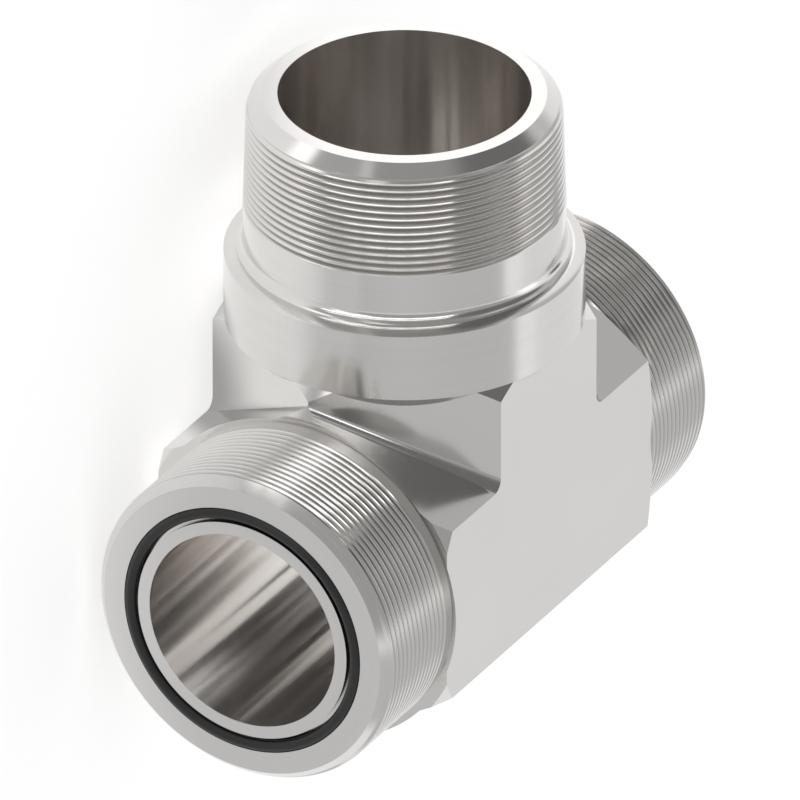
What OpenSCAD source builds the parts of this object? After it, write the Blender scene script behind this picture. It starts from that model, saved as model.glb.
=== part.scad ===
// Tee adapter for hydraulic lines, in millimetres. The run has a face-seal end
// on both sides and the branch has a tapered pipe end. The run lies along X,
// the branch points along +Y, and the tee lies on its side with its wrench
// flats level. The origin is where the two axes cross.

/* [Forged body] */
// Wrench size across the flats of both hexagon bars
across_flats = 49.6; // [49:0.1:51]
// Fillet where the branch flats meet the run flats
valley_fillet = 2.15; // [1:0.05:3]

/* [Run ends] */
// Length of the run from face to face
run_length = 96.5; // [92:0.5:110]
// Through bore of the run
run_bore_d = 31.8; // [24:0.1:33]
// Crest diameter of the straight thread at both run ends
run_thread_d = 50.4; // [49.6:0.1:51]
// Lead-in chamfer at the start of the straight thread
run_chamfer = 1.5; // [0.5:0.1:2]

/* [Front end of the hexagon] */
// From the centre to the front shoulder of the run hexagon
front_shoulder = 30.4; // [28:0.1:34]
// Diameter of the round lip that stands proud of the flats at the shoulder
front_lip_d = 52.7; // [52:0.1:54]
// Diameter at which the corner chamfer meets the shoulder
front_corner_d = 54.4; // [54:0.1:56]
// Slope of the corner chamfer, as length along the run for each mm of radius
front_corner_slope = 1.18; // [0.9:0.01:1.3]

/* [Rear end of the hexagon] */
// From the centre to where the rear corner chamfer ends at the thread
rear_shoulder = 31.4; // [29:0.1:35]
// Slope of the rear corner chamfer
rear_corner_slope = 0.41; // [0.3:0.01:0.6]

/* [Face seals] */
// Outer diameter of the seal groove in both run faces
groove_od = 40.5; // [39.9:0.1:43]
// Inner diameter of the seal groove
groove_id = 35.8; // [34:0.1:36]
// Depth of the seal groove
groove_depth = 1.35; // [1:0.05:1.6]
// Section of the O-ring
ring_section = 1.78; // [1.6:0.01:1.9]
// Clearance between the O-ring and the groove's outer wall and floor
ring_clearance = 0.05; // [0.02:0.01:0.2]

/* [Branch] */
// From the centre to the branch face
branch_length = 68.1; // [66:0.1:80]
// Bore of the branch
branch_bore_d = 37.8; // [30:0.1:39]
// From the centre to the end of the full bore, above the drill point
branch_bore_end = 12; // [8:0.5:18]
// Included angle of the drill point at the bottom of the branch bore
drill_point = 118; // [90:1:140]

/* [Branch collar] */
// Diameter of the round collar above the branch hexagon
collar_d = 54; // [53:0.1:56]
// From the centre to the lower edge of the collar
collar_bottom = 30.9; // [30:0.1:32]
// Height of the collar
collar_height = 12.05; // [6:0.05:13]
// Rounding of the collar's upper edge
collar_round = 1.3; // [0.5:0.1:1.6]
// Fillet between the collar's upper face and the plain neck
neck_fillet = 1.15; // [0.5:0.05:1.2]

/* [Taper thread] */
// Diameter of the plain neck and of the thread's large end
neck_d = 48.2; // [47.6:0.1:49]
// Length of the plain neck between the collar and the thread
neck_length = 7.15; // [3:0.05:10]
// Loss of diameter for each mm along the pipe thread
pipe_taper = 0.0625; // [0.05:0.0025:0.08]
// Lead-in chamfer at the branch face, measured across the radius
branch_chamfer = 2.4; // [1:0.1:3]
// Lead-in chamfer at the branch face, measured along the branch
branch_chamfer_h = 1.85; // [1:0.05:3]

/* [Hidden] */
$fn = 96;

half_flat = across_flats / 2;
corner_r = half_flat / cos(30);
facet_tip = half_flat / sin(30);
half_run = run_length / 2;
run_r = run_thread_d / 2;
front_lip_r = front_lip_d / 2;
collar_r = collar_d / 2;
collar_top = collar_bottom + collar_height;
neck_r = neck_d / 2;
thread_bottom = collar_top + neck_length;
chamfer_bottom = branch_length - branch_chamfer_h;
tip_r = neck_r - (chamfer_bottom - thread_bottom) * pipe_taper / 2;

// How deep the round ends are rooted in the hexagon, and how far the turned
// corner cuts reach out past its corners
root_depth = 5;
cut_reach = 12;
root_r = half_flat - root_depth;
reach_r = corner_r + cut_reach;
// Every cutter runs this far past the face that it opens
past = 1;

// The two equal hexagons meet in valleys. Seen along a valley, both flats lean
// back from its middle line by valley_lean, and the middle line rises by
// valley_rise above the plane of the two axes.
valley_rise = atan2(2 * sin(30), sqrt(2) * cos(30));
valley_lean = acos(sqrt((1 + pow(sin(30), 2)) / 2));
valley_x = half_flat / cos(valley_lean);
// The fillet's circle dips this far into both flats, so that it crosses them
fillet_bite = 0.001;
fillet_x = (half_flat + valley_fillet - fillet_bite) / cos(valley_lean);
fillet_half_w = valley_fillet * sin(valley_lean) + past;

// Groove seat of the O-ring: its outer side and its foot touch the groove
ring_r = ring_section / 2;
ring_mid_r = groove_od / 2 - ring_clearance - ring_r;
ring_mid_x = half_run - groove_depth + ring_clearance + ring_r;

// Hexagon bar along Z whose two flats at the sides are still missing, so that
// its four slanted facets run on until they meet above and below
module open_bar(length) {
    linear_extrude(height = length)
        polygon([[corner_r, 0], [0, facet_tip], [-corner_r, 0], [0, -facet_tip]]);
}

// Bar of the run along X, with its ridges at +Y and -Y
module run_bar() {
    translate([-half_run, 0, 0])
        rotate([90, 0, 90])
            open_bar(run_length);
}

// Bar of the branch along Y, from the run's axis up to the collar
module branch_bar() {
    rotate([-90, 0, 0])
        open_bar(collar_bottom);
}

// Fillet along one of the four valleys between the run and the branch
module valley_web() {
    intersection() {
        rotate([0, 0, 135])
            rotate([0, -valley_rise, 0])
                difference() {
                    translate([0, 0, -across_flats])
                        linear_extrude(height = 2 * across_flats)
                            polygon([
                                [valley_x - root_depth, 0],
                                [fillet_x - valley_fillet * cos(valley_lean), fillet_half_w],
                                [fillet_x - valley_fillet * cos(valley_lean), -fillet_half_w]
                            ]);
                    translate([fillet_x, 0, 0])
                        cylinder(h = 4 * across_flats, r = valley_fillet, center = true);
                }
        translate([-across_flats, 0, 0])
            cube(across_flats);
    }
}

module valley_webs() {
    for (side = [0, 1])
        mirror([side, 0, 0]) {
            valley_web();
            mirror([0, 0, 1])
                valley_web();
        }
}

// Turned outline that chamfers the corners of the branch hexagon at 45 degrees
module branch_corner_cut() {
    rotate([-90, 0, 0])
        rotate_extrude()
            polygon([
                [0, -across_flats],
                [reach_r, -across_flats],
                [reach_r, collar_bottom + collar_r - reach_r],
                [collar_r, collar_bottom],
                [0, collar_bottom]
            ]);
}

// Turned outline that chamfers the corners at both ends of the run hexagon. Past
// the corners it goes straight out, so that it leaves the branch alone.
module run_corner_cut() {
    front_x = (corner_r - front_corner_d / 2) * front_corner_slope - front_shoulder;
    rear_x = rear_shoulder - (corner_r - run_r) * rear_corner_slope;
    rotate([0, 90, 0])
        rotate_extrude()
            polygon([
                [0, -front_shoulder],
                [front_corner_d / 2, -front_shoulder],
                [corner_r, front_x],
                [reach_r, front_x],
                [reach_r, rear_x],
                [corner_r, rear_x],
                [run_r, rear_shoulder],
                [0, rear_shoulder]
            ]);
}

// The forged hexagon tee with its filleted valleys and chamfered corners. Both
// bars get their side flats from the same cut.
module hexagon_tee() {
    intersection() {
        union() {
            run_bar();
            intersection() {
                union() {
                    branch_bar();
                    valley_webs();
                }
                branch_corner_cut();
            }
        }
        run_corner_cut();
        cube([run_length, 2 * branch_length, across_flats], center = true);
    }
}

// Both threaded run ends, the front lip and the cones that root them
module turned_run() {
    rotate([0, 90, 0])
        rotate_extrude()
            polygon([
                [0, -half_run],
                [run_r - run_chamfer, -half_run],
                [run_r, run_chamfer - half_run],
                [run_r, -front_shoulder],
                [front_lip_r, -front_shoulder],
                [root_r, front_lip_r - root_r - front_shoulder],
                [root_r, rear_shoulder - run_r + root_r],
                [run_r, rear_shoulder],
                [run_r, half_run - run_chamfer],
                [run_r - run_chamfer, half_run],
                [0, half_run]
            ]);
}

// Collar with its rounded edge, filleted neck, taper thread and chamfered tip
module turned_branch() {
    rotate([-90, 0, 0])
        rotate_extrude()
            union() {
                polygon([
                    [0, collar_bottom - collar_r + root_r],
                    [root_r, collar_bottom - collar_r + root_r],
                    [collar_r, collar_bottom],
                    [collar_r, collar_top - collar_round],
                    [collar_r - collar_round, collar_top - collar_round],
                    [collar_r - collar_round, collar_top],
                    [neck_r, collar_top],
                    [neck_r, thread_bottom],
                    [tip_r, chamfer_bottom],
                    [tip_r - branch_chamfer, branch_length],
                    [0, branch_length]
                ]);
                translate([collar_r - collar_round, collar_top - collar_round])
                    circle(r = collar_round);
                translate([neck_r, collar_top])
                    difference() {
                        square(neck_fillet);
                        translate([neck_fillet, neck_fillet])
                            circle(r = neck_fillet);
                    }
            }
}

// Through bore of the run
module run_bore() {
    rotate([0, 90, 0])
        cylinder(h = run_length + 2 * past, d = run_bore_d, center = true);
}

// Bore of the branch, which ends in its drill point inside the run
module branch_bore() {
    bore_r = branch_bore_d / 2;
    rotate([-90, 0, 0])
        rotate_extrude()
            polygon([
                [0, branch_bore_end - bore_r / tan(drill_point / 2)],
                [bore_r, branch_bore_end],
                [bore_r, branch_length + past],
                [0, branch_length + past]
            ]);
}

// Ring groove in one run face, which holds the O-ring
module seal_groove() {
    translate([half_run - groove_depth, 0, 0])
        rotate([0, 90, 0])
            difference() {
                cylinder(h = groove_depth + past, d = groove_od);
                translate([0, 0, -past])
                    cylinder(h = groove_depth + 3 * past, d = groove_id);
            }
}

module tee_body() {
    color([0.74, 0.73, 0.71])
        difference() {
            union() {
                hexagon_tee();
                turned_run();
                turned_branch();
            }
            run_bore();
            branch_bore();
            seal_groove();
            mirror([1, 0, 0])
                seal_groove();
        }
}

// O-ring that lies against the outer wall and the floor of its groove
module face_seal() {
    color([0.12, 0.12, 0.12])
        translate([ring_mid_x, 0, 0])
            rotate([0, 90, 0])
                rotate_extrude()
                    translate([ring_mid_r, 0])
                        circle(r = ring_r);
}

module front_face_seal() {
    mirror([1, 0, 0])
        face_seal();
}

module rear_face_seal() {
    face_seal();
}

tee_body();
front_face_seal();
rear_face_seal();
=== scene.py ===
import math

import bpy
from mathutils import Matrix, Vector


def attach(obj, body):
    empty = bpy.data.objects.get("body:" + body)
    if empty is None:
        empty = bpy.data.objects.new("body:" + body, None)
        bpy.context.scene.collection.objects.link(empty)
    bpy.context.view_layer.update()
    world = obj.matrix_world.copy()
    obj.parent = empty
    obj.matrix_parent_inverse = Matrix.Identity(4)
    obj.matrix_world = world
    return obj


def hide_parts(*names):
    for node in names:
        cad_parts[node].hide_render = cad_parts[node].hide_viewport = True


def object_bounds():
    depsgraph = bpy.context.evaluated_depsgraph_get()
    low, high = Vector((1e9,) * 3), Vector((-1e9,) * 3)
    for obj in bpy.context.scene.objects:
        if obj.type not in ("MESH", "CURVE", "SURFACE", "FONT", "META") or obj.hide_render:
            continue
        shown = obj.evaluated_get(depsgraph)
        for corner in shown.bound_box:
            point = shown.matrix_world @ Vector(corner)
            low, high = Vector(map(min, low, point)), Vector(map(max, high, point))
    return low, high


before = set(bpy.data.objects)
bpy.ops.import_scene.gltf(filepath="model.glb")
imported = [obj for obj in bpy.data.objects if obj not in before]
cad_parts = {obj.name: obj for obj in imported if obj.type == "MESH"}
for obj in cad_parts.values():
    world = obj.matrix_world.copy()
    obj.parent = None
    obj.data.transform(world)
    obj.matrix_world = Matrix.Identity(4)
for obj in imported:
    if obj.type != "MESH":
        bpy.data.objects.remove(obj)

CAD_BOX = [list(corner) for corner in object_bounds()]

# Sizes of the tee, in millimetres, along the run (X) and along the branch (Y)
MM = 0.001
STEPS = 192
ACROSS_FLATS = 49.6
HALF_FLAT = ACROSS_FLATS / 2
CORNER_R = HALF_FLAT / math.cos(math.radians(30))
FACET_TIP = HALF_FLAT / math.sin(math.radians(30))
VALLEY_SETBACK = 1.665
HALF_RUN = 48.25
RUN_BORE_R = 15.9
RUN_R = 25.2
RUN_CHAMFER = 1.5
FRONT_SHOULDER = 30.4
FRONT_LIP_R = 26.35
FRONT_CORNER_R = 27.2
FRONT_CORNER_SLOPE = 1.18
REAR_SHOULDER = 31.4
REAR_CORNER_SLOPE = 0.41
GROOVE_OUTER_R = 20.25
GROOVE_INNER_R = 17.9
GROOVE_DEPTH = 1.35
BRANCH_LENGTH = 68.1
BRANCH_BORE_R = 18.9
BRANCH_BORE_END = 12.0
DRILL_HALF_ANGLE = math.radians(59)
COLLAR_R = 27.0
COLLAR_BOTTOM = 30.9
COLLAR_EDGE = 41.65
COLLAR_LAND = 42.1
LAND_R = 25.8
STEP_R = 25.05
STEP_TOP = 42.6
HOLLOW_R = 1.646
HOLLOW_ANGLE = math.radians(65)
NECK_R = 24.1
THREAD_BOTTOM = 50.1
CHAMFER_BOTTOM = 66.25
LEAD_BOTTOM = 65.66
LEAD_R = 23.27
TAPER = 0.0625
TIP_R = NECK_R - (LEAD_BOTTOM - THREAD_BOTTOM) * TAPER / 2
BRANCH_FACE_R = 21.2
# The round ends are rooted in the hexagon down to this radius
ROOT_R = HALF_FLAT - 5
# Cutters run this far past the faces that they open, and the run's bar this far past
# the cuts at its ends
PAST = 1.0
BAR_SPARE = 4.0
# How far the cuts at the run's corners reach out, and how far the cone that chamfers
# the branch's corners stands past them and above the collar's lower edge
CUT_REACH = 12
CONE_SPARE = 0.2
CONE_TOP = 3
SLAB_SIZE = 200
VALLEY_SEGMENTS = 14
HOLLOW_PARTS = 8
# The round lip stands this far in front of the hexagon's face
LIP_STEP = 0.02

# Threads: pitch, depth and half width of the groove, and the bevel of its crests
PITCH = 1.19
GROOVE_DROP = 0.76
GROOVE_HALF = 0.42
CREST_BEVEL = 0.085
CREST_SPREAD = 1.6
GROOVE_CORNERS = 5
RUN_TURNS = 14
BRANCH_TURNS = 15
# The cutter stands this far out of the crest, and over its last rings it rises to this
# far clear of the steel
CUTTER_OVER = 0.015
RUN_OUT_CLEAR = 0.1
RUN_OUT_CURVE = 1.5
RUN_OUT_RINGS = STEPS // 4

# Distances in metres at which vertices are merged, and the angle of a hard edge
MERGE = 1e-7
BODY_MERGE = 2e-7
HARD_EDGE = math.radians(24)

AXES = {"X": Vector((1, 0, 0)), "Y": Vector((0, 1, 0))}


# ---- modelling helpers ----

def only(piece):
    """Selects this piece alone and makes it the active one."""
    for other in bpy.context.selected_objects:
        other.select_set(False)
    piece.select_set(True)
    bpy.context.view_layer.objects.active = piece


def edit(piece):
    only(piece)
    bpy.ops.object.mode_set(mode="EDIT")
    bpy.ops.mesh.select_all(action="SELECT")


def leave():
    bpy.ops.object.mode_set(mode="OBJECT")


def on_axis(axis, radius, along):
    """Point of a turned profile, in metres."""
    if axis == "X":
        return Vector((along * MM, radius * MM, 0))
    return Vector((radius * MM, along * MM, 0))


def drawn(name, axis, profile):
    """Open outline through the profile's points, one vertex drawn out after another."""
    bpy.ops.mesh.primitive_plane_add(size=MM)
    piece = bpy.context.active_object
    piece.name = name
    edit(piece)
    bpy.ops.mesh.select_mode(type="VERT")
    bpy.ops.mesh.merge(type="CENTER")
    bpy.ops.mesh.select_all(action="SELECT")
    last = Vector((0, 0, 0))
    for index, (radius, along) in enumerate(profile):
        point = on_axis(axis, radius, along)
        step = {"value": point - last}
        if index == 0:
            bpy.ops.transform.translate(**step)
        else:
            bpy.ops.mesh.extrude_vertices_move(TRANSFORM_OT_translate=step)
        last = point
    return piece


def turned(name, axis, profile, closed=False):
    """Solid turned about X or Y from a profile of (radius, place along the axis)."""
    piece = drawn(name, axis, list(profile) + ([profile[0]] if closed else []))
    bpy.ops.mesh.select_all(action="SELECT")
    bpy.ops.mesh.spin(steps=STEPS, angle=2 * math.pi, center=(0, 0, 0), axis=AXES[axis])
    bpy.ops.mesh.select_all(action="SELECT")
    bpy.ops.mesh.remove_doubles(threshold=MERGE)
    bpy.ops.mesh.normals_make_consistent(inside=False)
    leave()
    return piece


def pick_edges(piece, test):
    """Goes into edit mode with just the edges selected whose two ends pass the test."""
    edit(piece)
    bpy.ops.mesh.select_mode(type="EDGE")
    bpy.ops.mesh.select_all(action="DESELECT")
    leave()
    points = [vertex.co / MM for vertex in piece.data.vertices]
    for edge in piece.data.edges:
        edge.select = test(points[edge.vertices[0]], points[edge.vertices[1]])
    bpy.ops.object.mode_set(mode="EDIT")


def combine(piece, tool, operation):
    cut = piece.modifiers.new("combine", "BOOLEAN")
    cut.operation = operation
    cut.solver = "EXACT"
    cut.material_mode = "TRANSFER"
    cut.object = tool
    only(piece)
    bpy.ops.object.modifier_apply(modifier=cut.name)
    bpy.data.objects.remove(tool)
    return piece


# ---- hexagon tee ----

def open_bar(name, axis, start, end):
    """Bar whose four slanted facets run on until they meet above and below."""
    bpy.ops.mesh.primitive_cylinder_add(
        vertices=4, radius=MM, depth=(end - start) * MM,
        location=AXES[axis] * (start + end) / 2 * MM,
        rotation=(0, math.pi / 2, 0) if axis == "X" else (math.pi / 2, 0, 0))
    piece = bpy.context.active_object
    piece.name = name
    only(piece)
    bpy.ops.object.transform_apply(location=True, rotation=True, scale=True)
    edit(piece)
    wide = (1, CORNER_R, FACET_TIP) if axis == "X" else (CORNER_R, 1, FACET_TIP)
    bpy.ops.transform.resize(value=wide, center_override=(0, 0, 0))
    leave()
    return piece


def level_slab():
    """Slab that both bars are cut to, so that their side flats lie level."""
    bpy.ops.mesh.primitive_cube_add(size=SLAB_SIZE * MM)
    slab = bpy.context.active_object
    edit(slab)
    bpy.ops.transform.resize(
        value=(1, 1, ACROSS_FLATS / SLAB_SIZE), center_override=(0, 0, 0))
    leave()
    return slab


def on_valley(a, b):
    """An edge of a valley lies in a plane through Z at 45 degrees to both axes."""
    near, shortest = 0.01, 5
    return all(
        abs(abs(p.x) - p.y) < near and abs(p.y) < CORNER_R + near for p in (a, b)
    ) and (a - b).length > shortest


def hexagon_tee(steel):
    tee = open_bar(
        "tee_body_steel", "X", -FRONT_SHOULDER - BAR_SPARE, REAR_SHOULDER + BAR_SPARE)
    branch = open_bar("branch_bar", "Y", 0, COLLAR_BOTTOM)
    slab = level_slab()
    for piece in (tee, branch, slab):
        piece.data.materials.append(steel)
    combine(tee, branch, "UNION")
    combine(tee, slab, "INTERSECT")
    pick_edges(tee, on_valley)
    bpy.ops.mesh.bevel(
        offset=VALLEY_SETBACK * MM, segments=VALLEY_SEGMENTS, profile=0.5,
        clamp_overlap=False)
    leave()
    reach = CORNER_R + CUT_REACH
    front_x = (CORNER_R - FRONT_CORNER_R) * FRONT_CORNER_SLOPE - FRONT_SHOULDER
    rear_x = REAR_SHOULDER - (CORNER_R - RUN_R) * REAR_CORNER_SLOPE
    front = LIP_STEP - FRONT_SHOULDER
    envelope = turned("run_corner_cut", "X", [
        (0, front),
        (FRONT_CORNER_R, front),
        (CORNER_R, front_x),
        (reach, front_x),
        (reach, rear_x),
        (CORNER_R, rear_x),
        (RUN_R, REAR_SHOULDER),
        (0, REAR_SHOULDER),
    ])
    envelope.data.materials.append(steel)
    combine(tee, envelope, "INTERSECT")
    cone = turned("branch_corner_cut", "Y", [
        (COLLAR_R - PAST, COLLAR_BOTTOM + PAST),
        (CORNER_R + CONE_SPARE, COLLAR_BOTTOM + COLLAR_R - CORNER_R - CONE_SPARE),
        (CORNER_R + CONE_SPARE, COLLAR_BOTTOM + CONE_TOP),
        (COLLAR_R - PAST, COLLAR_BOTTOM + CONE_TOP),
    ], closed=True)
    cone.data.materials.append(steel)
    combine(tee, cone, "DIFFERENCE")
    return tee


# ---- threads ----

def thread_tool(axis, sense, start, turns, crest_r, taper=0.0, first_angle=0.0):
    """Helical cutter with a V section, whose far end run_out lifts out of the steel."""
    wide = GROOVE_HALF + (CREST_BEVEL + CUTTER_OVER) * CREST_SPREAD
    root = (crest_r - GROOVE_DROP, start)
    tool = drawn("thread_tool", axis, [
        root,
        (crest_r - CREST_BEVEL, start + GROOVE_HALF),
        (crest_r + CUTTER_OVER, start + wide),
        (crest_r + CUTTER_OVER, start - wide),
        (crest_r - CREST_BEVEL, start - GROOVE_HALF),
        root,
    ])
    bpy.ops.mesh.select_all(action="SELECT")
    bpy.ops.mesh.remove_doubles(threshold=MERGE)
    bpy.ops.transform.rotate(
        value=-(first_angle + math.pi / STEPS), orient_axis=axis,
        center_override=(0, 0, 0))
    leave()
    screw = tool.modifiers.new("screw", "SCREW")
    screw.axis = axis
    screw.angle = 2 * math.pi * sense
    screw.screw_offset = PITCH * MM * sense
    screw.iterations = turns
    screw.steps = STEPS
    screw.render_steps = STEPS
    screw.use_merge_vertices = False
    only(tool)
    bpy.ops.object.modifier_apply(modifier=screw.name)
    if taper:
        ends = [v.co.y for v in tool.data.vertices]
        cone = tool.modifiers.new("taper", "SIMPLE_DEFORM")
        cone.deform_method = "TAPER"
        cone.deform_axis = axis
        cone.factor = taper * (max(ends) - min(ends))
        bpy.ops.object.modifier_apply(modifier=cone.name)
    edit(tool)
    bpy.ops.mesh.fill_holes(sides=GROOVE_CORNERS)
    bpy.ops.mesh.select_all(action="SELECT")
    bpy.ops.mesh.normals_make_consistent(inside=False)
    leave()
    return tool


def run_out(tool, axis, crest_r):
    """Lifts the last rings of the cutter little by little out of the steel."""
    vertices = tool.data.vertices
    lift = (GROOVE_DROP + RUN_OUT_CLEAR) / (crest_r - GROOVE_DROP)
    for ring in range(RUN_OUT_RINGS):
        amount = 1 + lift * ((ring + 1) / RUN_OUT_RINGS) ** RUN_OUT_CURVE
        first = len(vertices) - GROOVE_CORNERS * (RUN_OUT_RINGS - ring)
        for corner in range(GROOVE_CORNERS):
            vertex = vertices[first + corner]
            along = vertex.co.dot(AXES[axis]) * AXES[axis]
            vertex.co = along + (vertex.co - along) * amount


# ---- turned ends ----

# Angles about each axis from which the threads are seen in full, and the places
# that their first full groove has there
RUN_VIEW_ANGLE = math.radians(40.9)
BRANCH_VIEW_ANGLE = math.radians(210)
RUN_FIRST_GROOVE = 46.25
BRANCH_FIRST_GROOVE = 65.0


def run_end(side, steel):
    """Threaded end of the run: side is -1 at the front and 1 at the rear."""
    if side < 0:
        root = FRONT_SHOULDER - FRONT_LIP_R + ROOT_R
        profile = [
            (0, root),
            (ROOT_R, root),
            (FRONT_LIP_R, FRONT_SHOULDER),
            (RUN_R, FRONT_SHOULDER),
        ]
    else:
        root = REAR_SHOULDER - RUN_R + ROOT_R
        profile = [(0, root), (ROOT_R, root), (RUN_R, REAR_SHOULDER)]
    profile += [
        (RUN_R, HALF_RUN - RUN_CHAMFER),
        (RUN_R - RUN_CHAMFER, HALF_RUN),
        (0, HALF_RUN),
    ]
    end = turned("run_end", "X", [(radius, along * side) for radius, along in profile])
    end.data.materials.append(steel)
    tool = thread_tool(
        "X", -side, side * (RUN_FIRST_GROOVE + 1.5 * PITCH), RUN_TURNS, RUN_R,
        first_angle=RUN_VIEW_ANGLE + side * math.pi)
    run_out(tool, "X", RUN_R)
    tool.data.materials.append(steel)
    return combine(end, tool, "DIFFERENCE")


def branch_end(steel):
    """Collar, neck and taper thread of the branch."""
    hollow_top = STEP_TOP + HOLLOW_R * math.sin(HOLLOW_ANGLE)
    hollow = [
        (NECK_R + HOLLOW_R * (1 - math.cos(HOLLOW_ANGLE * part / HOLLOW_PARTS)),
         hollow_top - HOLLOW_R * math.sin(HOLLOW_ANGLE * part / HOLLOW_PARTS))
        for part in range(HOLLOW_PARTS, -1, -1)]
    end = turned("branch_end", "Y", [
        (0, COLLAR_BOTTOM - COLLAR_R + ROOT_R),
        (ROOT_R, COLLAR_BOTTOM - COLLAR_R + ROOT_R),
        (COLLAR_R, COLLAR_BOTTOM),
        (COLLAR_R, COLLAR_EDGE),
        (LAND_R, COLLAR_LAND),
        (STEP_R, COLLAR_LAND),
        *hollow,
        (NECK_R, THREAD_BOTTOM),
        (TIP_R, LEAD_BOTTOM),
        (LEAD_R, CHAMFER_BOTTOM),
        (BRANCH_FACE_R, BRANCH_LENGTH),
        (0, BRANCH_LENGTH),
    ])
    end.data.materials.append(steel)
    base_r = NECK_R + THREAD_BOTTOM * TAPER / 2
    tool = thread_tool(
        "Y", -1, BRANCH_FIRST_GROOVE + 2.5 * PITCH, BRANCH_TURNS, base_r,
        taper=-TAPER / 2 / (base_r * MM), first_angle=BRANCH_VIEW_ANGLE + math.pi)
    run_out(tool, "Y", base_r)
    tool.data.materials.append(steel)
    return combine(end, tool, "DIFFERENCE")


# ---- bores and ring grooves ----

def run_bore(steel):
    tool = turned("run_bore", "X", [
        (0, -HALF_RUN - PAST),
        (RUN_BORE_R, -HALF_RUN - PAST),
        (RUN_BORE_R, HALF_RUN + PAST),
        (0, HALF_RUN + PAST),
    ])
    tool.data.materials.append(steel)
    return tool


def branch_bore(steel):
    tool = turned("branch_bore", "Y", [
        (0, BRANCH_BORE_END - BRANCH_BORE_R / math.tan(DRILL_HALF_ANGLE)),
        (BRANCH_BORE_R, BRANCH_BORE_END),
        (BRANCH_BORE_R, BRANCH_LENGTH + PAST),
        (0, BRANCH_LENGTH + PAST),
    ])
    tool.data.materials.append(steel)
    return tool


def ring_groove(side, steel):
    floor = side * (HALF_RUN - GROOVE_DEPTH)
    face = side * (HALF_RUN + PAST)
    tool = turned("ring_groove", "X", [
        (GROOVE_INNER_R, floor),
        (GROOVE_OUTER_R, floor),
        (GROOVE_OUTER_R, face),
        (GROOVE_INNER_R, face),
    ], closed=True)
    tool.data.materials.append(steel)
    return tool


def tee_body(steels):
    """The whole steel body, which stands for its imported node."""
    body = hexagon_tee(steels["bar"])
    for end in (run_end(-1, steels["run"]), run_end(1, steels["run"]),
                branch_end(steels["branch"])):
        combine(body, end, "UNION")
    for tool in (run_bore(steels["run_bore"]), branch_bore(steels["branch_bore"]),
                 ring_groove(-1, steels["run"]), ring_groove(1, steels["run"])):
        combine(body, tool, "DIFFERENCE")
    edit(body)
    bpy.ops.mesh.remove_doubles(threshold=BODY_MERGE)
    bpy.ops.mesh.dissolve_degenerate(threshold=MERGE)
    leave()
    only(body)
    bpy.ops.object.shade_smooth_by_angle(angle=HARD_EDGE)
    normals = body.modifiers.new("face_normals", "WEIGHTED_NORMAL")
    normals.keep_sharp = True
    normals.weight = 100
    bpy.ops.object.modifier_apply(modifier=normals.name)
    return body


# ---- materials ----

# Colours and roughness of the steels and the rubber: dark and light tone, and the
# roughness of the dark and of the light places
STEEL_DARK = (0.712, 0.699, 0.682)
STEEL_LIGHT = (0.73, 0.718, 0.702)
STEEL_ROUGHNESS = (0.16, 0.14)
# Colour of the painted shade in the thread grooves
GROOVE_PAINTED_SHADE = (0.68, 0.665, 0.65)
# Bore colours: lightened as painted light for the light inside the bores, with painted
# reflection streaks from dark to light
BORE_PAINTED_DARK = (0.79, 0.76, 0.735)
BORE_PAINTED_LIGHT = (0.99, 0.975, 0.96)
BORE_ROUGHNESS = (0.24, 0.16)
RUBBER_DARK = (0.014, 0.015, 0.014)
RUBBER_LIGHT = (0.022, 0.023, 0.021)
RUBBER_ROUGHNESS = (0.5, 0.42)

# Heights of the bump in metres
TURNING_HEIGHT = 4e-7
BORE_WAVES = 0.0005
GRAIN_HEIGHT = 1e-6
RUBBER_HEIGHT = 4e-6

# Scales of the noises, how far the turning marks drift on their way round, and how
# much the bores' painted reflection streaks and bump waves change along the bore
TURNING_SCALE = 5200
TURNING_TONE_SCALE = 700
TURNING_DRIFT = 0.0006
WAVE_SCALE = 4.2
PAINTED_STREAK_SCALE = 2.6
STREAK_DRIFT = 1.5
GRAIN_SCALE = 2600
CLOUD_SCALE = 45

# Depths below the crest in mm between which a thread groove turns dark with painted shade
GROOVE_DARK_FROM = 0.12
GROOVE_DARK_TO = 0.5

def group(name, inputs, outputs):
    """Empty node group with named sockets, and a function that adds a node to it."""
    tree = bpy.data.node_groups.new(name, "ShaderNodeTree")
    for label, kind in inputs:
        tree.interface.new_socket(name=label, in_out="INPUT", socket_type=kind)
    for label, kind in outputs:
        tree.interface.new_socket(name=label, in_out="OUTPUT", socket_type=kind)
    return tree, tree.nodes.new("NodeGroupInput"), tree.nodes.new("NodeGroupOutput")


def maths(tree, operation, first, second=None, third=None):
    node = tree.nodes.new("ShaderNodeMath")
    node.operation = operation
    for socket, value in zip(node.inputs, (first, second, third)):
        if value is None:
            continue
        if isinstance(value, (int, float)):
            socket.default_value = value
        else:
            tree.links.new(value, socket)
    return node.outputs[0]


def combined(tree, x, y, z):
    node = tree.nodes.new("ShaderNodeCombineXYZ")
    for socket, value in zip(node.inputs, (x, y, z)):
        if isinstance(value, (int, float)):
            socket.default_value = value
        else:
            tree.links.new(value, socket)
    return node.outputs[0]


def noise(tree, vector, scale, detail=2.0):
    node = tree.nodes.new("ShaderNodeTexNoise")
    node.inputs["Scale"].default_value = scale
    node.inputs["Detail"].default_value = detail
    tree.links.new(vector, node.inputs["Vector"])
    return node.outputs["Fac"]


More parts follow.
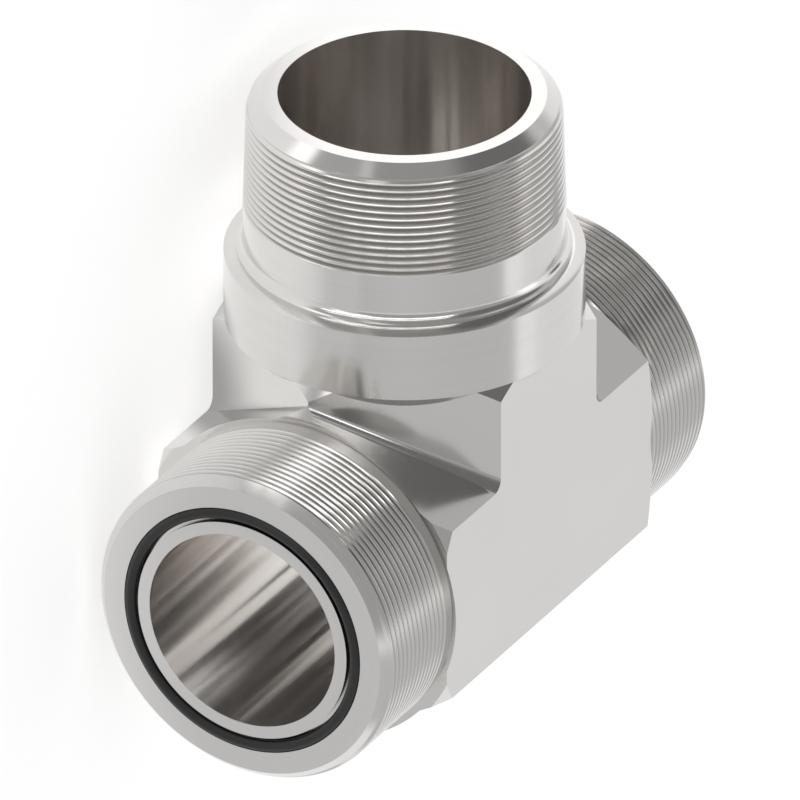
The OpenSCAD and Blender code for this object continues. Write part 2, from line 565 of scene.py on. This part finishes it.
def turned_place_group():
    """Radius, place along the axis and direction round it, for a part turned about Z."""
    tree, source, target = group(
        "turned_place", [("Vector", "NodeSocketVector")],
        [("Radius", "NodeSocketFloat"), ("Along", "NodeSocketFloat"),
         ("Round X", "NodeSocketFloat"), ("Round Y", "NodeSocketFloat")])
    split = tree.nodes.new("ShaderNodeSeparateXYZ")
    tree.links.new(source.outputs["Vector"], split.inputs[0])
    x, y, z = split.outputs
    radius = maths(tree, "SQRT", maths(
        tree, "ADD", maths(tree, "MULTIPLY", x, x), maths(tree, "MULTIPLY", y, y)))
    tree.links.new(radius, target.inputs["Radius"])
    tree.links.new(z, target.inputs["Along"])
    tree.links.new(maths(tree, "DIVIDE", x, radius), target.inputs["Round X"])
    tree.links.new(maths(tree, "DIVIDE", y, radius), target.inputs["Round Y"])
    return tree


def turning_marks_group():
    """Fine rings left by a turning tool."""
    tree, source, target = group(
        "turning_marks",
        [("Radius", "NodeSocketFloat"), ("Along", "NodeSocketFloat"),
         ("Round X", "NodeSocketFloat"), ("Round Y", "NodeSocketFloat")],
        [("Height", "NodeSocketFloat"), ("Tone", "NodeSocketFloat")])
    across = maths(tree, "ADD", source.outputs["Radius"], source.outputs["Along"])
    round_x = maths(tree, "MULTIPLY", source.outputs["Round X"], TURNING_DRIFT)
    round_y = maths(tree, "MULTIPLY", source.outputs["Round Y"], TURNING_DRIFT)
    place = combined(tree, across, round_x, round_y)
    tree.links.new(noise(tree, place, TURNING_SCALE, 3), target.inputs["Height"])
    tree.links.new(noise(tree, place, TURNING_TONE_SCALE, 2), target.inputs["Tone"])
    return tree


def groove_shade_group():
    """Mask of painted shade in the thread grooves, by depth below a crest that may narrow.
    """
    tree, source, target = group(
        "groove_shade",
        [("Radius", "NodeSocketFloat"), ("Along", "NodeSocketFloat"),
         ("Crest", "NodeSocketFloat"), ("Narrowing", "NodeSocketFloat"),
         ("Start", "NodeSocketFloat"), ("End", "NodeSocketFloat")],
        [("Mask", "NodeSocketFloat")])
    along = maths(tree, "ABSOLUTE", source.outputs["Along"])
    crest = maths(
        tree, "SUBTRACT", source.outputs["Crest"],
        maths(tree, "MULTIPLY", along, source.outputs["Narrowing"]))
    depth = maths(tree, "SUBTRACT", crest, source.outputs["Radius"])
    deep = tree.nodes.new("ShaderNodeMapRange")
    deep.interpolation_type = "SMOOTHSTEP"
    deep.inputs["From Min"].default_value = GROOVE_DARK_FROM * MM
    deep.inputs["From Max"].default_value = GROOVE_DARK_TO * MM
    tree.links.new(depth, deep.inputs["Value"])
    inside = maths(
        tree, "MULTIPLY", maths(tree, "GREATER_THAN", along, source.outputs["Start"]),
        maths(tree, "LESS_THAN", along, source.outputs["End"]))
    tree.links.new(
        maths(tree, "MULTIPLY", deep.outputs["Result"], inside), target.inputs["Mask"])
    return tree


def bore_waves_and_painted_streaks_group():
    """Painted reflection streaks in the colour tone, and waves in the bump, that run along
    the wall of a bore.
    """
    tree, source, target = group(
        "bore_waves_and_painted_streaks",
        [("Along", "NodeSocketFloat"), ("Round X", "NodeSocketFloat"),
         ("Round Y", "NodeSocketFloat")],
        [("Height", "NodeSocketFloat"), ("Tone", "NodeSocketFloat")])
    slow = maths(tree, "MULTIPLY", source.outputs["Along"], STREAK_DRIFT)
    place = combined(tree, source.outputs["Round X"], source.outputs["Round Y"], slow)
    tree.links.new(noise(tree, place, WAVE_SCALE, 1), target.inputs["Height"])
    tree.links.new(noise(tree, place, PAINTED_STREAK_SCALE, 2), target.inputs["Tone"])
    return tree


def bar_grain_group():
    """Faint grain and clouding of plated bar steel."""
    tree, source, target = group(
        "bar_grain", [("Vector", "NodeSocketVector")],
        [("Height", "NodeSocketFloat"), ("Tone", "NodeSocketFloat")])
    place = source.outputs["Vector"]
    tree.links.new(noise(tree, place, GRAIN_SCALE, 3), target.inputs["Height"])
    tree.links.new(noise(tree, place, CLOUD_SCALE, 3), target.inputs["Tone"])
    return tree


GROUPS = {}


def placed(tree, name, **links):
    node = tree.nodes.new("ShaderNodeGroup")
    node.node_tree = GROUPS[name]
    for label, value in links.items():
        socket = node.inputs[label.replace("_", " ")]
        if isinstance(value, (int, float)):
            socket.default_value = value
        else:
            tree.links.new(value, socket)
    return node.outputs


def tinted(tree, mask, dark, light, low=0.3, high=0.7):
    """Colour that goes from dark to light with a mask."""
    ramp = tree.nodes.new("ShaderNodeValToRGB")
    ramp.color_ramp.elements[0].position = low
    ramp.color_ramp.elements[0].color = (*dark, 1)
    ramp.color_ramp.elements[1].position = high
    ramp.color_ramp.elements[1].color = (*light, 1)
    tree.links.new(mask, ramp.inputs["Fac"])
    return ramp.outputs["Color"]


def ranged(tree, mask, low, high):
    node = tree.nodes.new("ShaderNodeMapRange")
    node.inputs["From Min"].default_value = 0.3
    node.inputs["From Max"].default_value = 0.7
    node.inputs["To Min"].default_value = low
    node.inputs["To Max"].default_value = high
    tree.links.new(mask, node.inputs["Value"])
    return node.outputs["Result"]


def finished(name, metallic):
    material = bpy.data.materials.new(name)
    material.use_nodes = True
    tree = material.node_tree
    shader = tree.nodes["Principled BSDF"]
    shader.inputs["Metallic"].default_value = metallic
    return material, tree, shader


def bumped(tree, shader, height, depth):
    bump = tree.nodes.new("ShaderNodeBump")
    bump.inputs["Strength"].default_value = 1.0
    bump.inputs["Distance"].default_value = depth
    tree.links.new(height, bump.inputs["Height"])
    tree.links.new(bump.outputs["Normal"], shader.inputs["Normal"])


def object_place(tree, axis="Z"):
    """Object coordinates, with the named axis turned to Z."""
    coords = tree.nodes.new("ShaderNodeTexCoord").outputs["Object"]
    if axis == "Z":
        return coords
    turn = tree.nodes.new("ShaderNodeMapping")
    if axis == "X":
        turn.inputs["Rotation"].default_value = (0, -math.pi / 2, 0)
    else:
        turn.inputs["Rotation"].default_value = (math.pi / 2, 0, 0)
    tree.links.new(coords, turn.inputs["Vector"])
    return turn.outputs["Vector"]


def darkened(tree, colour, mask, tone):
    """The colour, times a dark tone of painted shade where the mask is 1."""
    mix = tree.nodes.new("ShaderNodeMix")
    mix.data_type = "RGBA"
    mix.blend_type = "MULTIPLY"
    for socket in mix.inputs:
        if socket.identifier == "A_Color":
            tree.links.new(colour, socket)
        if socket.identifier == "B_Color":
            socket.default_value = (*tone, 1)
        if socket.identifier == "Factor_Float":
            tree.links.new(mask, socket)
    return [out for out in mix.outputs if out.identifier == "Result_Color"][0]


def turned_steel(name, axis, crest, narrowing, start, end):
    material, tree, shader = finished(name, 1.0)
    place = placed(tree, "turned_place", Vector=object_place(tree, axis))
    marks = placed(
        tree, "turning_marks", Radius=place["Radius"], Along=place["Along"],
        Round_X=place["Round X"], Round_Y=place["Round Y"])
    # Painted shade: the base colour turns darker deeper in the thread grooves
    grooves = placed(
        tree, "groove_shade", Radius=place["Radius"], Along=place["Along"],
        Crest=crest * MM, Narrowing=narrowing, Start=start * MM, End=end * MM)
    colour = tinted(tree, marks["Tone"], STEEL_DARK, STEEL_LIGHT)
    tree.links.new(
        darkened(tree, colour, grooves["Mask"], GROOVE_PAINTED_SHADE), shader.inputs["Base Color"])
    tree.links.new(
        ranged(tree, marks["Tone"], *STEEL_ROUGHNESS), shader.inputs["Roughness"])
    bumped(tree, shader, marks["Height"], TURNING_HEIGHT)
    return material


# Bore steel with painted light: a lighter colour for the light inside the bore, and
# painted reflection streaks in its tone
def bored_steel(name, axis):
    material, tree, shader = finished(name, 1.0)
    place = placed(tree, "turned_place", Vector=object_place(tree, axis))
    waves_and_painted_streaks = placed(
        tree, "bore_waves_and_painted_streaks", Along=place["Along"], Round_X=place["Round X"],
        Round_Y=place["Round Y"])
    tree.links.new(
        tinted(tree, waves_and_painted_streaks["Tone"], BORE_PAINTED_DARK, BORE_PAINTED_LIGHT), shader.inputs["Base Color"])
    tree.links.new(
        ranged(tree, waves_and_painted_streaks["Height"], *BORE_ROUGHNESS), shader.inputs["Roughness"])
    bumped(tree, shader, waves_and_painted_streaks["Height"], BORE_WAVES)
    return material


def bar_steel(name):
    material, tree, shader = finished(name, 1.0)
    grain = placed(tree, "bar_grain", Vector=object_place(tree))
    tree.links.new(
        tinted(tree, grain["Tone"], STEEL_DARK, STEEL_LIGHT), shader.inputs["Base Color"])
    tree.links.new(
        ranged(tree, grain["Tone"], *STEEL_ROUGHNESS), shader.inputs["Roughness"])
    bumped(tree, shader, grain["Height"], GRAIN_HEIGHT)
    return material


def seal_rubber(name):
    material, tree, shader = finished(name, 0.0)
    grain = placed(tree, "bar_grain", Vector=object_place(tree))
    tree.links.new(
        tinted(tree, grain["Tone"], RUBBER_DARK, RUBBER_LIGHT),
        shader.inputs["Base Color"])
    tree.links.new(
        ranged(tree, grain["Tone"], *RUBBER_ROUGHNESS), shader.inputs["Roughness"])
    bumped(tree, shader, grain["Height"], RUBBER_HEIGHT)
    return material


# ---- camera, floor and light ----

# Width of the picture at the tee in metres, and lens and sensor in millimetres
FRAME_WIDTH = 0.1196
LENS = 1500
SENSOR_WIDTH = 36


def camera():
    """Far camera with a long lens, because the photo shows next to no perspective."""
    right = Vector((0.5, 0, 0.8660254))
    up = Vector((0.4330127, 0.8660254, -0.25))
    back = Vector((-0.75, 0.5, 0.4330127))
    target = Vector((5.42, 11.52, -3.91)) * MM
    data = bpy.data.cameras.new("photo_camera")
    data.lens = LENS
    data.sensor_width = SENSOR_WIDTH
    eye = bpy.data.objects.new("photo_camera", data)
    bpy.context.scene.collection.objects.link(eye)
    turn = Matrix((right, up, back)).transposed()
    distance = FRAME_WIDTH * LENS / SENSOR_WIDTH
    eye.matrix_world = Matrix.Translation(target + back * distance) @ turn.to_4x4()
    bpy.context.scene.camera = eye


def floor():
    bpy.ops.mesh.primitive_plane_add(size=FLOOR_SIZE, location=(0, 0, CAD_BOX[0][2]))
    ground = bpy.context.active_object
    ground.name = "studio_floor"
    material = bpy.data.materials.new("floor_white")
    material.use_nodes = True
    tree = material.node_tree
    tree.nodes.clear()
    output = tree.nodes.new("ShaderNodeOutputMaterial")
    paper = tree.nodes.new("ShaderNodeBsdfDiffuse")
    paper.inputs["Color"].default_value = (FLOOR_PALE, FLOOR_PALE, FLOOR_PALE, 1)
    glow = tree.nodes.new("ShaderNodeEmission")
    tree.links.new(
        maths(tree, "MULTIPLY", seen_directly(tree), FLOOR_LIFT),
        glow.inputs["Strength"])
    both = tree.nodes.new("ShaderNodeAddShader")
    tree.links.new(paper.outputs[0], both.inputs[0])
    tree.links.new(glow.outputs[0], both.inputs[1])
    tree.links.new(both.outputs[0], output.inputs["Surface"])
    ground.data.materials.append(material)


def seen_directly(tree):
    """1 for the rays that show the background: camera, glossy and transmission."""
    rays = tree.nodes.new("ShaderNodeLightPath")
    return maths(tree, "MAXIMUM", rays.outputs["Is Camera Ray"], maths(
        tree, "MAXIMUM", rays.outputs["Is Glossy Ray"],
        rays.outputs["Is Transmission Ray"]))


def sky():
    world = bpy.data.worlds.new("studio")
    bpy.context.scene.world = world
    world.use_nodes = True
    tree = world.node_tree
    background = tree.nodes["Background"]
    background.inputs["Color"].default_value = (1, 1, 1, 1)
    strength = maths(
        tree, "MULTIPLY_ADD", seen_directly(tree), 1 - SKY_LEVEL, SKY_LEVEL)
    tree.links.new(strength, background.inputs["Strength"])


FACING = Vector((-0.8660254, 0, 0.5))
ASIDE = Vector((0.5, 0, 0.8660254))
UPRIGHT = Vector((0, 1, 0))


def towards(turn, rise):
    """Direction from the tee: turn is from the side that the camera sees, clockwise
    seen from the branch's end, and rise is above the plane square to the branch."""
    turn, rise = math.radians(turn), math.radians(rise)
    level = math.cos(turn) * FACING + math.sin(turn) * ASIDE
    return math.cos(rise) * level + math.sin(rise) * UPRIGHT


def aimed(direction, distance):
    """Placement at that distance whose -Z looks at the middle of the tee."""
    back = direction.normalized()
    right = UPRIGHT.cross(back)
    right = right.normalized() if right.length > 0.01 else ASIDE.copy()
    up = back.cross(right)
    turn = Matrix((right, up, back)).transposed().to_4x4()
    return Matrix.Translation(back * distance) @ turn


# Share of a hung card that is soft edge, and how square the corners of all cards are
SOFT_EDGE = 0.45
CARD_CORNERS = 4


def hung_card(name, turn, rise, width, height, level, distance, softness=SOFT_EDGE):
    """Card that hangs round the tee: turn, rise and half sizes are in degrees."""
    place = aimed(towards(turn, rise), distance) @ Matrix.Diagonal(
        (2 * distance * math.tan(math.radians(width)),
         2 * distance * math.tan(math.radians(height)), 1, 1))
    card(name, place, level, softness)


def strip(name, radius, height, start, end, half_height, level):
    """Bright strip bent round the branch, hung as a row of flat cards."""
    step = (end - start) / STRIP_PARTS
    distance = math.hypot(radius, height)
    half_width = radius * math.tan(math.radians(step / 2))
    for part in range(STRIP_PARTS):
        hung_card(
            "%s_%d" % (name, part + 1), start + (part + 0.5) * step,
            math.degrees(math.atan2(height, radius)),
            math.degrees(math.atan2(half_width, distance)),
            math.degrees(math.atan2(half_height, distance)), level, distance * MM,
            STRIP_EDGE)


def laid_card(name, x, y, width, height, level, softness, lift):
    """Card that lies on the floor: centre and half sizes are in millimetres."""
    card(name, Matrix.Translation((x * MM, y * MM, CAD_BOX[0][2] + lift * MM))
         @ Matrix.Diagonal((2 * width * MM, 2 * height * MM, 1, 1)), level, softness)


def card(name, place, level, softness):
    """Soft-edged grey card of the studio, which only shows in the steel's gloss."""
    bpy.ops.mesh.primitive_plane_add(size=1)
    sheet = bpy.context.active_object
    sheet.name = name
    sheet.matrix_world = place
    material = bpy.data.materials.new(name + "_grey")
    material.use_nodes = True
    tree = material.node_tree
    tree.nodes.clear()
    corner = tree.nodes.new("ShaderNodeTexCoord").outputs["UV"]
    split = tree.nodes.new("ShaderNodeSeparateXYZ")
    tree.links.new(corner, split.inputs[0])
    across = maths(tree, "MULTIPLY_ADD", split.outputs[0], 2, -1)
    along = maths(tree, "MULTIPLY_ADD", split.outputs[1], 2, -1)
    across, along = (maths(tree, "POWER", maths(tree, "ABSOLUTE", side), CARD_CORNERS)
                     for side in (across, along))
    out = maths(tree, "POWER", maths(tree, "ADD", across, along), 1 / CARD_CORNERS)
    edge = tree.nodes.new("ShaderNodeMapRange")
    edge.interpolation_type = "SMOOTHSTEP"
    edge.inputs["From Min"].default_value = 1.0
    edge.inputs["From Max"].default_value = 1 - softness
    tree.links.new(out, edge.inputs["Value"])
    grey = tree.nodes.new("ShaderNodeEmission")
    grey.inputs["Strength"].default_value = level
    clear = tree.nodes.new("ShaderNodeBsdfTransparent")
    mix = tree.nodes.new("ShaderNodeMixShader")
    tree.links.new(edge.outputs["Result"], mix.inputs["Fac"])
    tree.links.new(clear.outputs[0], mix.inputs[1])
    tree.links.new(grey.outputs[0], mix.inputs[2])
    output = tree.nodes.new("ShaderNodeOutputMaterial")
    tree.links.new(mix.outputs[0], output.inputs["Surface"])
    sheet.data.materials.append(material)
    sheet.visible_camera = False
    sheet.visible_diffuse = False
    sheet.visible_transmission = False
    sheet.visible_shadow = False


def softbox(name, turn, rise, distance, size, radiance):
    """Square lamp for the shadow and the rubber, which the steel doesn't mirror."""
    lamp = bpy.data.lights.new(name, "AREA")
    lamp.shape = "SQUARE"
    lamp.size = size
    lamp.energy = radiance * math.pi * size * size
    box = bpy.data.objects.new(name, lamp)
    bpy.context.scene.collection.objects.link(box)
    box.matrix_world = aimed(towards(turn, rise), distance)
    box.visible_camera = False
    box.visible_glossy = False


# Size of the floor in metres, brightness of its paper, what is added where it is seen,
# and brightness of the sky as a light
FLOOR_SIZE = 8
FLOOR_PALE = 0.8
FLOOR_LIFT = 0.62
SKY_LEVEL = 0.5

# Hung cards: turn, rise, half width and half height in degrees, level, distance in
# metres, and how much of them is soft edge where it isn't SOFT_EDGE
HUNG_CARDS = (
    ("card_front", 0, 42, 78, 62, 0.42, 0.7),
    ("card_facing", 0, -43, 72, 28, 0.6, 0.66),
    ("card_beside", 122, -34, 34, 30, 0.86, 0.66),
    ("card_overhead", 0, 88, 28, 28, 0.33, 0.64),
    ("card_dark_side", 76, 46, 40, 22, 0.18, 0.6),
    ("card_bright_side", 90, -2, 11, 22, 1.4, 0.56),
    ("card_far_side", 140, 42, 22, 24, 0.55, 0.62),
    ("card_strip_left", -29, 23, 6, 5, 2.0, 0.5, 0.2),
    ("card_near_rear", 113.6, 14, 9, 11, 0.2, 0.166),
)

# Strips that hang round the branch: radius and height in mm, turn at both ends,
# half height in mm, level. Each is a row of STRIP_PARTS cards with a narrow soft edge.
STRIPS = (
    ("strip_collar", 75, 71.5, -52, 30, 4.2, 2.6),
    ("strip_band", 75, 92.5, -54, 30, 5, 1.8),
)
STRIP_PARTS = 6
STRIP_EDGE = 0.04

# Long card on the floor beside the run thread: centre x and y, half length and half
# width in mm, turn on the floor, level, how much of it is soft edge, and height above
# the floor in mm
STREAK_CARD = (-270, 142, 205, 24, 152.9, 1.9, 0.3, 0.3)

# Lamp overhead: turn, rise, distance and size in metres, brightness
OVERHEAD_SOFTBOX = (-20, 60, 0.9, 0.5, 0.12)

# Cards on the floor: centre x and y, half width and half height in mm, level, how
# much of them is soft edge, and height above the floor in mm
LAID_CARDS = (
    ("card_floor_front", -860, -100, 830, 900, 0.67, 0.07, 0.05),
    ("card_beside_branch", -128, 156, 112, 98, 0.45, 0.15, 0.15),
    # Painted shadow: dark card under the tee that the steel mirrors in place of the
    # floor's shadow
    ("card_painted_shadow_under", 11, 2, 33, 34, 0.45, 0.2, 0.1),
    ("card_behind_branch", 70, 104, 72, 62, 1.4, 0.4, 0.2),
    ("card_left_streak", -31, 98, 7, 22, 1.5, 0.5, 0.25),
)


GLOSSY_BOUNCES = 12
ALL_BOUNCES = 16


def studio():
    scene = bpy.context.scene
    scene.view_settings.view_transform = "Standard"
    # Light is followed deep into both bores
    scene.cycles.glossy_bounces = GLOSSY_BOUNCES
    scene.cycles.max_bounces = ALL_BOUNCES
    camera()
    floor()
    sky()
    for settings in HUNG_CARDS:
        hung_card(*settings)
    for settings in LAID_CARDS:
        laid_card(*settings)
    for settings in STRIPS:
        strip(*settings)
    x, y, length, width, turn, level, softness, lift = STREAK_CARD
    card("card_streaks", Matrix.Translation((x * MM, y * MM, CAD_BOX[0][2] + lift * MM))
         @ Matrix.Rotation(math.radians(turn), 4, "Z")
         @ Matrix.Diagonal((2 * length * MM, 2 * width * MM, 1, 1)), level, softness)
    softbox("overhead_softbox", *OVERHEAD_SOFTBOX)


def finishes():
    """The steels of the body by where they go, and the rubber of both rings."""
    for name, build in (
            ("turned_place", turned_place_group), ("turning_marks", turning_marks_group),
            ("groove_shade", groove_shade_group), ("bore_waves_and_painted_streaks", bore_waves_and_painted_streaks_group),
            ("bar_grain", bar_grain_group)):
        GROUPS[name] = build()
    steels = {
        "bar": bar_steel("hexagon_bar_steel"),
        "run": turned_steel(
            "run_turned_steel", "X", RUN_R, 0, FRONT_SHOULDER + 0.1,
            HALF_RUN - RUN_CHAMFER),
        "branch": turned_steel(
            "branch_turned_steel", "Y", NECK_R + THREAD_BOTTOM * TAPER / 2, TAPER / 2,
            THREAD_BOTTOM, LEAD_BOTTOM),
        "run_bore": bored_steel("run_bored_steel", "X"),
        "branch_bore": bored_steel("branch_bored_steel", "Y"),
    }
    return steels, seal_rubber("ring_rubber")


# ---- the scene ----

studio()
STEELS, rubber = finishes()
body = tee_body(STEELS)
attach(body, "root")
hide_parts("tee_body")
for node in ("front_face_seal", "rear_face_seal"):
    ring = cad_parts[node]
    ring.data.materials.clear()
    ring.data.materials.append(rubber)
